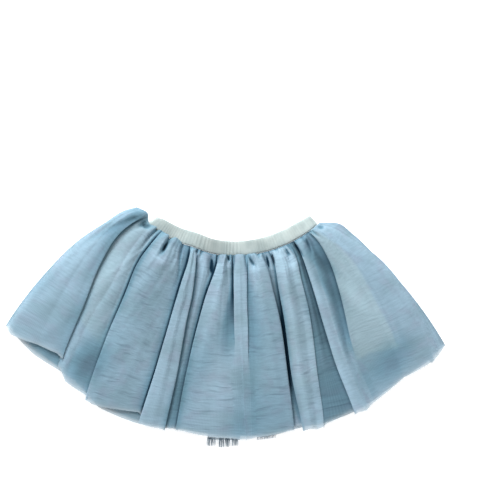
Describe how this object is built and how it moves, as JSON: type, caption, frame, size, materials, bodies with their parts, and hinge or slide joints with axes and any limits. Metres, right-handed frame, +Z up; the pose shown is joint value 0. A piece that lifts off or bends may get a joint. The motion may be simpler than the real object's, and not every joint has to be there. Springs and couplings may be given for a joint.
{
  "type": "tulle skirt",
  "caption": "Child's gathered tulle skirt laid flat, with an elastic waistband, lapping pleats, under layers and a short lining.",
  "frame": {"origin": "centre of the laid-out skirt's outline, on the surface that it lies on", "axes": "+X across the skirt towards the wearer's left side, +Y from the hem towards the waistband, +Z up from the surface through the skirt's front"},
  "size_m": [0.5935, 0.3243, 0.0249],
  "materials": {
    "waistband": "pale mint knit over a flat elastic, puckered, with a soft sheen",
    "outer_tulle": "soft matt light-blue net with crosswise slubs and a raw cut hem",
    "under_tulle": "the same light-blue net, with raw and frayed hems",
    "lining": "pale mint plain jersey"
  },
  "bodies": {
    "root": {"waistband_front": "waistband", "waistband_back": "waistband", "tulle_outer_front": "outer_tulle", "tulle_outer_back": "outer_tulle", "tulle_under_front": "under_tulle", "tulle_under_back": "under_tulle", "lining_front": "lining", "lining_back": "lining", "frayed_hem": "under_tulle"}
  },
  "joints": []
}
